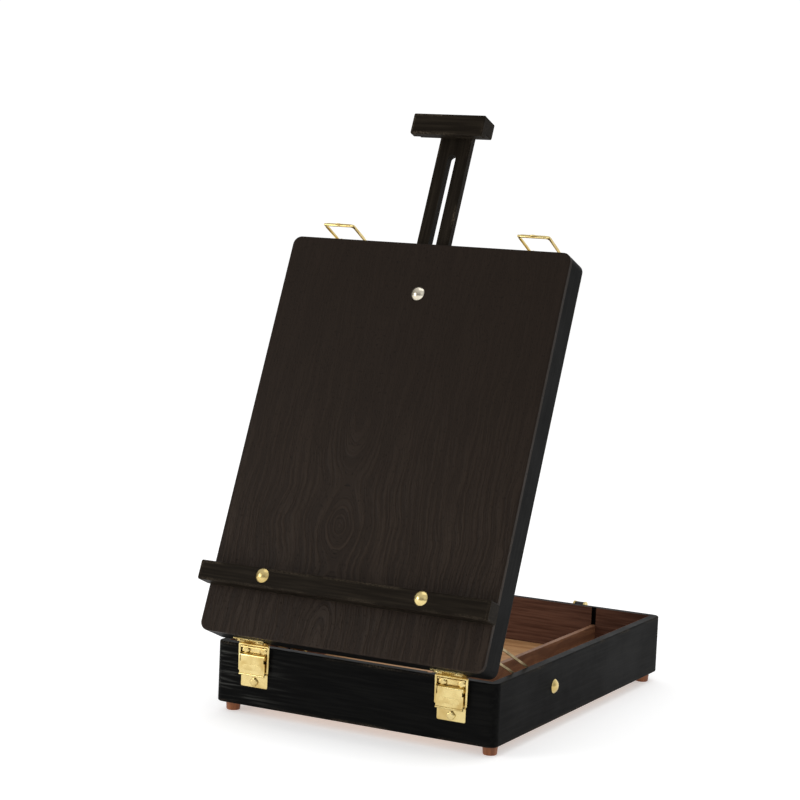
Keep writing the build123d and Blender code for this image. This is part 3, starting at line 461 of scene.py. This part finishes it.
def dress_metals():
    gold = metal("gold_plate", GOLD, GOLD_DEEP, 0.27)
    steel = metal("zinc_plate", STEEL, STEEL_DEEP, 0.34)
    dress(metal("champagne_plate", SILVER, SILVER_DEEP, 0.20), "mast_clamp_bolt")
    dress(metal("stay_brass", OLD_BRASS, OLD_BRASS_DEEP, 0.36), "stay_arm_left", "stay_arm_right")
    dress(resin("handle_resin"), "carry_handle")
    for name in nodes:
        if frame_slot(name) == "zinc_steel":
            dress(steel, name)
    for name, node in nodes.items():
        if frame_slot(name) == "gold_brass" and not name.startswith("stay_arm"):
            dress(gold, name)
    return gold


def frame_slot(name):
    rows = frame["record"]["subparts"]
    return next(row["material_slot"] for row in rows if row["node"] == name)


# ------------------------------------------------------------------ pressed crowns of the levers
# A crown is drawn from its lever's pin: X along the pin, Y down the lever, Z out of its face.

CROWN_HALF_WIDTH = 11.5 * MM
CROWN_START = 4.9 * MM
CROWN_END = 14.6 * MM
CROWN_RISE = 0.95 * MM
CROWN_SINK = 0.35 * MM
CROWN_EDGE_SINK = 0.02 * MM
CROWN_STEPS = (28, 20)
CROWN_SIDE_CURVE = (6, 0.5)
CROWN_RUN_CURVE = (2.6, 0.8)
CROWN_PEAK_SHIFT = 0.85


def lever_face_height(name, pin, down, out):
    """How far the flat of a lever stands out from its pin."""
    reach = [Vector(vertex.co) - pin for vertex in nodes[name].data.vertices]
    flat = [v.dot(out) for v in reach if CROWN_START < v.dot(down) < CROWN_END]
    return max(flat)


def crown_height(across, share):
    """The pressed face: full across the width, highest nearer the pin, dying out at its edges."""
    side = 1.0 - abs(across) ** CROWN_SIDE_CURVE[0]
    run = 1.0 - abs(2.0 * share ** CROWN_PEAK_SHIFT - 1.0) ** CROWN_RUN_CURVE[0]
    return max(side, 0.0) ** CROWN_SIDE_CURVE[1] * max(run, 0.0) ** CROWN_RUN_CURVE[1]


def crown_shape():
    """A closed pillow with its underside sunk in the lever's flat."""
    shape = bmesh.new()
    columns, rows = CROWN_STEPS
    grid = []
    for j in range(rows + 1):
        share = j / rows
        line = []
        for i in range(columns + 1):
            across = 2.0 * i / columns - 1.0
            down = CROWN_START + (CROWN_END - CROWN_START) * share
            out = CROWN_RISE * crown_height(across, share) - CROWN_EDGE_SINK
            line.append(shape.verts.new((across * CROWN_HALF_WIDTH, down, out)))
        grid.append(line)
    for j in range(rows):
        for i in range(columns):
            shape.faces.new((grid[j][i], grid[j][i + 1], grid[j + 1][i + 1], grid[j + 1][i]))
    rim = [e for e in shape.edges if e.is_boundary]
    skirt = bmesh.ops.extrude_edge_only(shape, edges=rim)
    low = [item for item in skirt["geom"] if isinstance(item, bmesh.types.BMVert)]
    for vertex in low:
        vertex.co.z = -CROWN_SINK
    bmesh.ops.contextual_create(shape, geom=[e for e in shape.edges if e.is_boundary])
    return shape


def add_crown(body, lever, pin, down, out, finish):
    """Stands a crown on a lever's flat."""
    right = down.cross(out).normalized()
    seat = pin + out * lever_face_height(lever, pin, down, out)
    place = Matrix.Translation(seat) @ Matrix((right, down, out)).transposed().to_4x4()
    new_piece(lever + "_crown", crown_shape(), finish, body, SHARP_CROWN, place)


def add_lever_crowns(finish):
    outward = Vector((0.0, -UP_LID.z, UP_LID.y))
    for side in ("left", "right"):
        pin = Vector(joint("front_lever_lift_" + side)["pos_m"])
        down, out = Vector((0, 0, -1)), Vector((0, -1, 0))
        add_crown("front_lever_" + side, "front_latch_lever_" + side, pin, down, out, finish)
        lift = joint("rear_lever_lift_" + side)
        pin = Vector(lift["pos_m"])
        swung = math.radians(-lift["range_deg"][0])
        down = outward * math.cos(swung) + UP_LID * math.sin(swung)
        out = UP_LID * math.cos(swung) - outward * math.sin(swung)
        add_crown("rear_lever_" + side, "rear_latch_lever_" + side, pin, down, out, finish)


# ------------------------------------------------------------------ screw domes and rear bails

CAP_RADIUS = 2.35 * MM
CAP_RISE = 1.15 * MM
CAP_SINK = 0.35 * MM
CAP_RIM = 0.25 * MM
CAP_SIDES = 28
CAP_STEPS = 11
CAP_CURVE = 0.85
SCREW_HEAD_DEPTH = 1.0 * MM
SCREW_SEAT_DROP = 0.45 * MM
BAIL_RADII = (1.13 * MM, 1.45 * MM)
BAIL_WIRE_RADIUS = 1.1 * MM
BAIL_HALF_WIDTHS = (13.55 * MM, 13.8 * MM)
BAIL_ARM_SHARES = (0.20, 0.5, 0.8)
BAIL_CORNER = 3.0 * MM
BAIL_CORNER_STEPS = 6
BAIL_BAR_SHARE = 0.45
BAIL_SIDES = 16
BAIL_END_DEPTH = 2.0 * MM
TAB_SIZE = (3.6 * MM, 1.5 * MM, 0.9 * MM)
TAB_SHIFT = 1.45 * MM


def islands(name):
    """The separate solids of a CAD node, each as its list of points."""
    shape = bmesh.new()
    shape.from_mesh(nodes[name].data)
    seen = set()
    found = []
    for start in shape.verts:
        if start in seen:
            continue
        seen.add(start)
        front = [start]
        points = []
        while front:
            vertex = front.pop()
            points.append(vertex.co.copy())
            for edge in vertex.link_edges:
                other = edge.other_vert(vertex)
                if other not in seen:
                    seen.add(other)
                    front.append(other)
        found.append(points)
    shape.free()
    return found


def mean(points):
    return sum(points, Vector()) / len(points)


def new_piece(name, shape, finish, body, crease=SHARP_PIECE, place=Matrix()):
    """Links a finished mesh as a brass piece that rides on a body."""
    bmesh.ops.recalc_face_normals(shape, faces=shape.faces)
    mesh = bpy.data.meshes.new(name)
    shape.to_mesh(mesh)
    shape.free()
    mesh.shade_smooth()
    mesh.set_sharp_from_angle(angle=crease)
    mesh.materials.append(finish)
    piece = bpy.data.objects.new(name, mesh)
    piece.matrix_world = place
    bpy.context.scene.collection.objects.link(piece)
    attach(piece, body)


def ring_of(shape, centre, across, up, radii, sides):
    """A ring of vertices round a centre in the plane of two directions."""
    made = []
    for i in range(sides):
        turn = 2 * math.pi * i / sides
        off = across * (radii[0] * math.cos(turn)) + up * (radii[1] * math.sin(turn))
        made.append(shape.verts.new(centre + off))
    return made


def bridge(shape, rings):
    """Joins rings of vertices into a skin and closes its two ends."""
    for first, second in zip(rings, rings[1:]):
        for i in range(len(first)):
            j = (i + 1) % len(first)
            shape.faces.new((first[i], first[j], second[j], second[i]))
    shape.faces.new(rings[0])
    shape.faces.new(rings[-1])


def domed_cap(shape, seat, out):
    """A round-headed screw's dome with a rolled rim, standing on a seat."""
    across = out.orthogonal().normalized()
    up = out.cross(across)
    profile = [(1.0, -CAP_SINK), (1.0, CAP_RIM)]
    for i in range(1, CAP_STEPS + 1):
        turn = math.pi / 2 * i / (CAP_STEPS + 0.2)
        profile.append((math.cos(turn) ** CAP_CURVE, CAP_RIM + (CAP_RISE - CAP_RIM) * math.sin(turn)))
    rings = [ring_of(shape, seat + out * rise, across, up, (CAP_RADIUS * share,) * 2, CAP_SIDES)
             for share, rise in profile]
    bridge(shape, rings)


def add_screw_caps(finish):
    """Domes on the heads of every latch and strike screw."""
    for body, axis in (("base", Vector((0, 1, 0))), ("lid", UP_LID)):
        name = body + "_fitting_screws"
        shape = bmesh.new()
        solids = islands(name)
        middle = mean([mean(points) for points in solids])
        for points in solids:
            out = axis if (mean(points) - middle).dot(axis) > 0 else -axis
            top = max(point.dot(out) for point in points)
            head = [point for point in points if top - point.dot(out) < SCREW_HEAD_DEPTH]
            seat = mean(head)
            domed_cap(shape, seat + out * (top - SCREW_SEAT_DROP - seat.dot(out)), out)
        new_piece(name + "_domes", shape, finish, body)


def bail_path(foot, bar, across):
    """Points up one arm of a bail, over its bar and down the other, and the arms' direction."""
    along_arm = bar - foot
    length = along_arm.length
    along_arm.normalize()
    low, high = BAIL_HALF_WIDTHS
    path = [(low + (high - low) * share, length * share) for share in BAIL_ARM_SHARES]
    for i in range(BAIL_CORNER_STEPS + 1):
        turn = math.pi / 2 * i / BAIL_CORNER_STEPS
        side = high - BAIL_CORNER + BAIL_CORNER * math.cos(turn)
        path.append((side, length - BAIL_CORNER + BAIL_CORNER * math.sin(turn)))
    path += [(BAIL_BAR_SHARE * high, length)]
    path += [(-x, y) for x, y in reversed(path)]
    return [foot + across * x + along_arm * y for x, y in path], along_arm


def add_rear_bails(finish):
    """A heavier round bar over each rear bail's arms and bar, with the small tab at its middle."""
    across = Vector((1, 0, 0))
    for side in ("left", "right"):
        node = "rear_latch_bail_" + side
        foot = Vector(joint("rear_bail_swing_" + side)["pos_m"])
        reach = [Vector(v.co) - foot for v in nodes[node].data.vertices]
        off = [v - across * v.x for v in reach]
        far = max(v.length for v in off)
        ends = [v for v in off if v.length > far - BAIL_END_DEPTH]
        bar = foot + sum(ends, Vector()).normalized() * (far - BAIL_WIRE_RADIUS)
        points, along_arm = bail_path(foot, bar, across)
        flat = across.cross(along_arm)
        shape = bmesh.new()
        rings = []
        for i, point in enumerate(points):
            run = (points[min(i + 1, len(points) - 1)] - points[max(i - 1, 0)]).normalized()
            rings.append(ring_of(shape, point, run.cross(flat), flat, BAIL_RADII, BAIL_SIDES))
        bridge(shape, rings)
        tab = bmesh.ops.create_uvsphere(shape, u_segments=24, v_segments=12, radius=1.0)
        turn = Matrix((across, along_arm, flat)).transposed()
        for vertex in tab["verts"]:
            size = Vector(vertex.co[i] * TAB_SIZE[i] for i in range(3))
            vertex.co = bar + along_arm * TAB_SHIFT + turn @ size
        new_piece(node + "_bar", shape, finish, "rear_bail_" + side)


# ------------------------------------------------------------------ stage

def add_floor():
    mesh = bpy.data.meshes.new("studio_floor")
    sheet = bmesh.new()
    bmesh.ops.create_circle(sheet, cap_ends=True, segments=96, radius=FLOOR_RADIUS)
    sheet.to_mesh(mesh)
    sheet.free()
    floor = bpy.data.objects.new("studio_floor", mesh)
    bpy.context.scene.collection.objects.link(floor)
    graph = Graph("studio_floor_white")
    grit = graph.noise(graph.place(), 300.0)
    graph.finish(linear(FLOOR_WHITE), 0.9, graph.bump(grit, 0.02 * MM, 0.2), specular=0.0)
    graph.surface.inputs["Emission Color"].default_value = (1.0, 1.0, 1.0, 1.0)
    graph.surface.inputs["Emission Strength"].default_value = FLOOR_GLOW
    mesh.materials.append(graph.material)


def add_world():
    """A pale studio: bright behind the easel and overhead, dimmer where its front looks."""
    world = bpy.data.worlds.new("studio")
    bpy.context.scene.world = world
    world.use_nodes = True
    tree = world.node_tree
    glow = tree.nodes["Background"]
    glow.inputs["Color"].default_value = (1.0, 1.0, 1.0, 1.0)
    sky = tree.nodes.new("ShaderNodeTexCoord")
    parts = tree.nodes.new("ShaderNodeSeparateXYZ")
    tree.links.new(sky.outputs["Generated"], parts.inputs["Vector"])
    around = world_fade(tree, parts.outputs["Y"], FRONT_REACH, FRONT_LIGHT, BEHIND_LIGHT)
    overhead = world_fade(tree, parts.outputs["Z"], ZENITH_REACH, around, ZENITH_LIGHT)
    tree.links.new(overhead, glow.inputs["Strength"])


def world_fade(tree, value, reach, low, high):
    """Fades a world value from low to high as a direction's part runs over its reach."""
    fade = tree.nodes.new("ShaderNodeMapRange")
    fade.inputs["From Min"].default_value = reach[0]
    fade.inputs["From Max"].default_value = reach[1]
    for key, end in (("To Min", low), ("To Max", high)):
        if isinstance(end, bpy.types.NodeSocket):
            tree.links.new(end, fade.inputs[key])
        else:
            fade.inputs[key].default_value = end
    tree.links.new(value, fade.inputs["Value"])
    return fade.outputs["Result"]


def add_light(name, place, size, watts):
    light = bpy.data.lights.new(name + "_softbox", "AREA")
    light.shape = "SQUARE"
    light.size = size
    light.energy = watts
    box = bpy.data.objects.new(name + "_softbox", light)
    box.location = place
    box.rotation_euler = (LIGHT_AIM - Vector(place)).to_track_quat("-Z", "Y").to_euler()
    bpy.context.scene.collection.objects.link(box)


def add_camera():
    lens = bpy.data.cameras.new("view")
    lens.lens = CAMERA_LENS
    lens.sensor_width = CAMERA_SENSOR
    camera = bpy.data.objects.new("view", lens)
    turn = Matrix.Rotation(CAMERA_TURN, 4, "Z") @ Matrix.Rotation(math.pi / 2 - CAMERA_DOWN, 4, "X")
    roll = Matrix.Rotation(CAMERA_ROLL, 4, "Z")
    camera.matrix_world = Matrix.Translation(CAMERA_PLACE) @ turn @ roll
    bpy.context.scene.collection.objects.link(camera)
    bpy.context.scene.camera = camera


def main():
    bpy.context.scene.view_settings.view_transform = "Standard"
    add_camera()
    add_world()
    add_floor()
    for name, light in LIGHTS.items():
        add_light(name, **light)
    shade_smooth()
    dress_woods()
    gold = dress_metals()
    add_lever_crowns(gold)
    add_screw_caps(gold)
    add_rear_bails(gold)


main()
